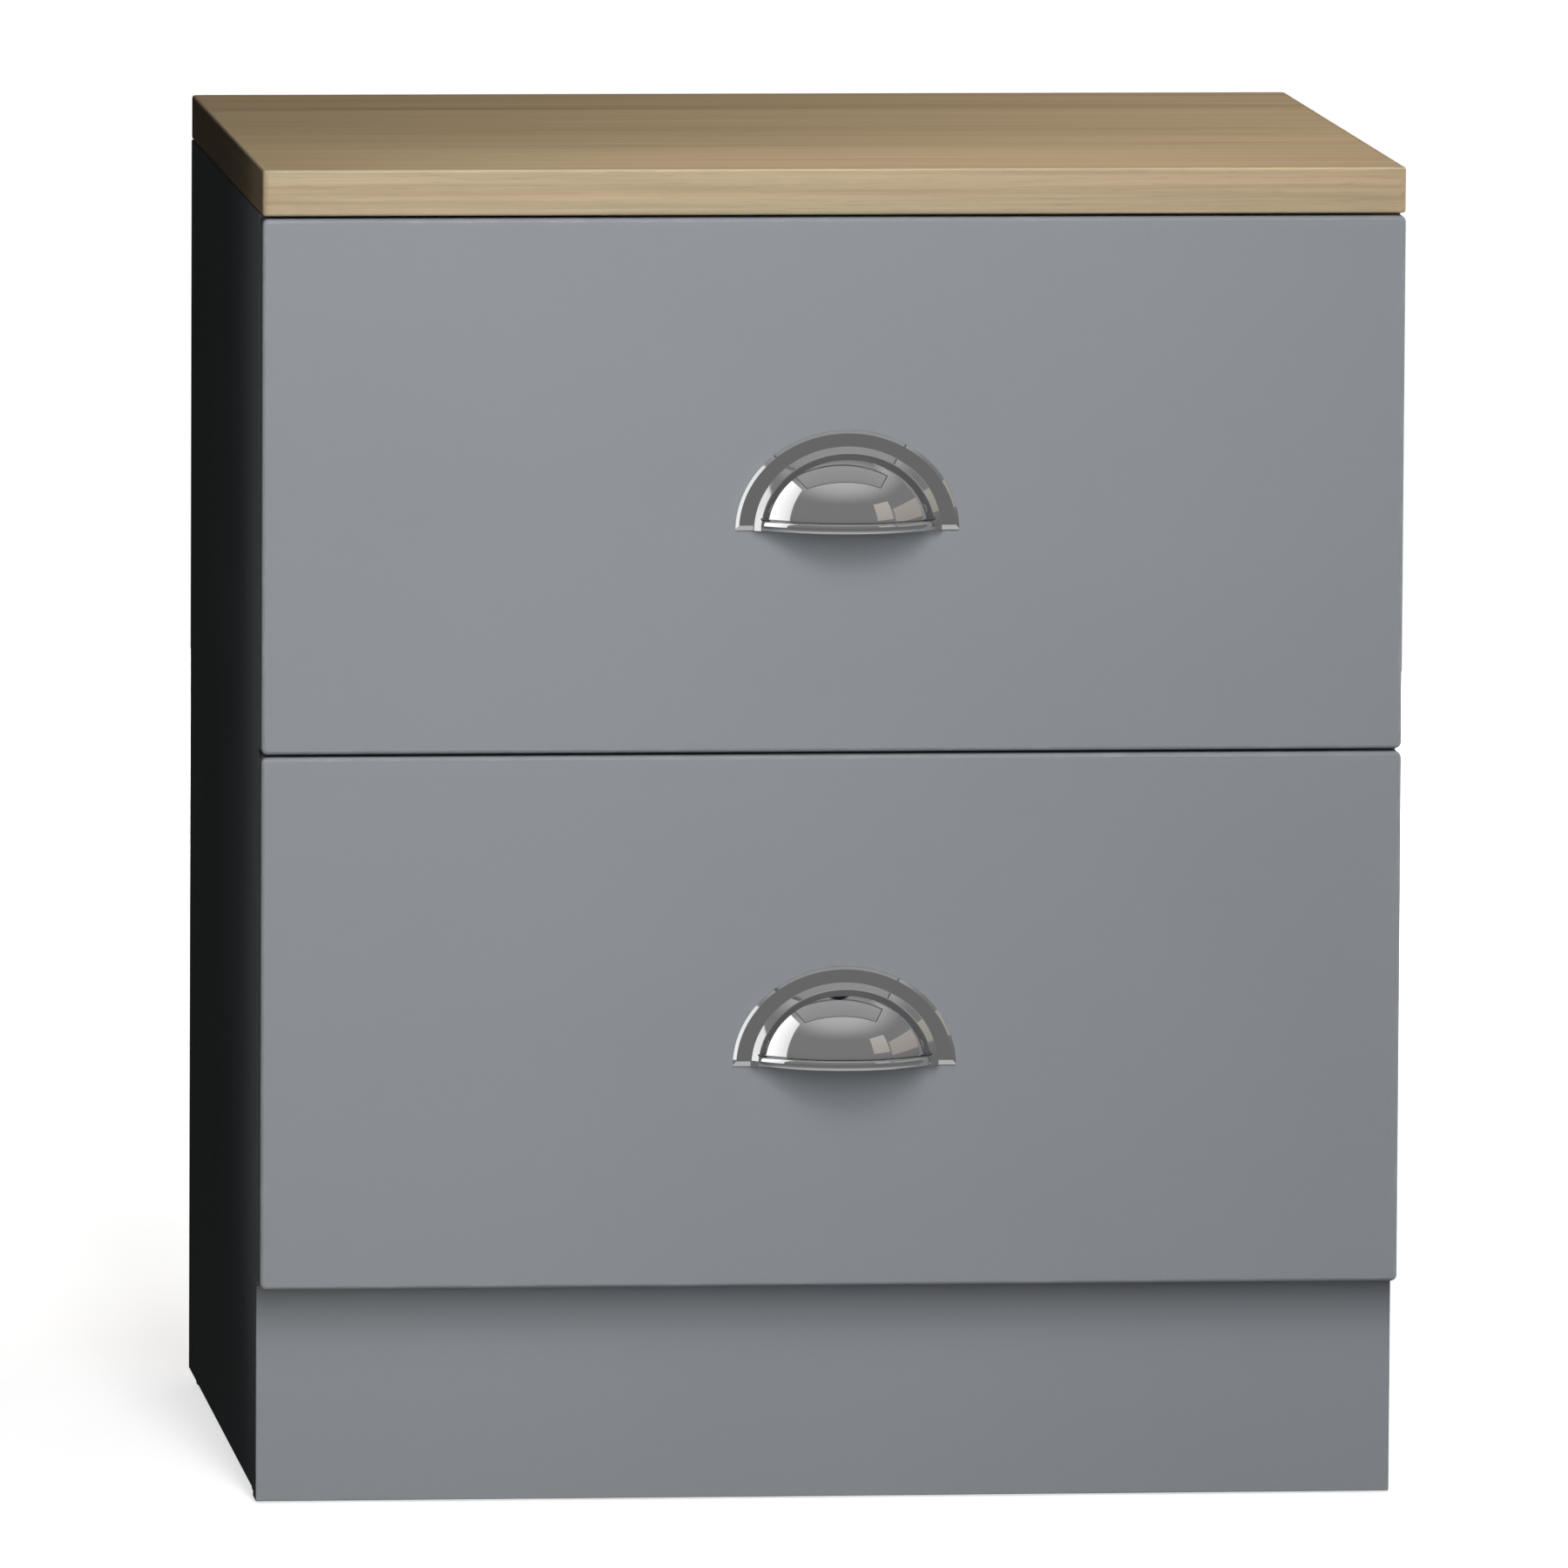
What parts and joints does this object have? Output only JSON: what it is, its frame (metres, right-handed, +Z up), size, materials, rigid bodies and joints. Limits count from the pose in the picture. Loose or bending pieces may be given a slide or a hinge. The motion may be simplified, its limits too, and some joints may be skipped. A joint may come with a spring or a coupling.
{
  "type": "nightstand with drawers",
  "caption": "Bedside cabinet with drawers on telescopic runners, cup handles, a flush worktop and a recessed plinth.",
  "frame": {"origin": "on the floor, at the centre of the box around the whole cabinet with its drawers shut and its handles", "axes": "+Z up, the drawers' fronts face -Y, +X to the right as seen from the front"},
  "size_m": [0.5, 0.4424, 0.587],
  "materials": {
    "oak_laminate": "satin oak-effect laminate, fine straight grain from side to side",
    "grey_board": "matt mid-grey foil on board",
    "drawer_box": "pale melamine on board",
    "thin_board": "thin painted board, brown and raw behind",
    "raw_timber": "raw softwood",
    "chrome_handle": "polished chrome",
    "zinc_steel": "bright zinc-plated steel",
    "glide_nylon": "black nylon",
    "bumper_rubber": "clear soft pad"
  },
  "bodies": {
    "cabinet": {"worktop": "oak_laminate", "left_side_panel": "grey_board", "right_side_panel": "grey_board", "bottom_panel": "grey_board", "back_panel": "thin_board", "front_top_rail": "grey_board", "rear_top_rail": "grey_board", "plinth_board": "grey_board", "left_plinth_block": "raw_timber", "right_plinth_block": "raw_timber", "rear_foot_rail": "grey_board", "front_left_glide": "glide_nylon", "front_right_glide": "glide_nylon", "rear_left_glide": "glide_nylon", "rear_right_glide": "glide_nylon", "worktop_screw_front_left": "zinc_steel", "worktop_screw_front_right": "zinc_steel", "worktop_screw_rear_left": "zinc_steel", "worktop_screw_rear_right": "zinc_steel", "lower_left_runner_outer": "zinc_steel", "lower_right_runner_outer": "zinc_steel", "upper_left_runner_outer": "zinc_steel", "upper_right_runner_outer": "zinc_steel"},
    "lower_drawer": {"lower_drawer_front": "grey_board", "lower_drawer_inner_front": "drawer_box", "lower_drawer_left_side": "drawer_box", "lower_drawer_right_side": "drawer_box", "lower_drawer_back": "drawer_box", "lower_drawer_base": "thin_board", "lower_handle": "chrome_handle", "lower_left_handle_bolt": "zinc_steel", "lower_right_handle_bolt": "zinc_steel", "lower_left_front_screw": "zinc_steel", "lower_right_front_screw": "zinc_steel", "lower_left_bumper": "bumper_rubber", "lower_right_bumper": "bumper_rubber", "lower_left_runner_inner": "zinc_steel", "lower_right_runner_inner": "zinc_steel"},
    "lower_runner_middle": {"lower_left_runner_middle": "zinc_steel", "lower_right_runner_middle": "zinc_steel"},
    "upper_drawer": {"upper_drawer_front": "grey_board", "upper_drawer_inner_front": "drawer_box", "upper_drawer_left_side": "drawer_box", "upper_drawer_right_side": "drawer_box", "upper_drawer_back": "drawer_box", "upper_drawer_base": "thin_board", "upper_handle": "chrome_handle", "upper_left_handle_bolt": "zinc_steel", "upper_right_handle_bolt": "zinc_steel", "upper_left_front_screw": "zinc_steel", "upper_right_front_screw": "zinc_steel", "upper_left_bumper": "bumper_rubber", "upper_right_bumper": "bumper_rubber", "upper_left_runner_inner": "zinc_steel", "upper_right_runner_inner": "zinc_steel"},
    "upper_runner_middle": {"upper_left_runner_middle": "zinc_steel", "upper_right_runner_middle": "zinc_steel"}
  },
  "joints": [
    {"name": "lower_drawer_slide", "type": "slide", "parent": "cabinet", "child": "lower_drawer", "axis": [0, -1, 0], "range_m": [0, 0.34]},
    {"name": "lower_runner_middle_slide", "type": "slide", "parent": "cabinet", "child": "lower_runner_middle", "axis": [0, -1, 0], "range_m": [0, 0.17]},
    {"name": "upper_drawer_slide", "type": "slide", "parent": "cabinet", "child": "upper_drawer", "axis": [0, -1, 0], "range_m": [0, 0.34]},
    {"name": "upper_runner_middle_slide", "type": "slide", "parent": "cabinet", "child": "upper_runner_middle", "axis": [0, -1, 0], "range_m": [0, 0.17]}
  ],
  "couplings": [
    {"joint": "lower_runner_middle_slide", "follows": "lower_drawer_slide", "ratio": 0.5},
    {"joint": "upper_runner_middle_slide", "follows": "upper_drawer_slide", "ratio": 0.5}
  ]
}
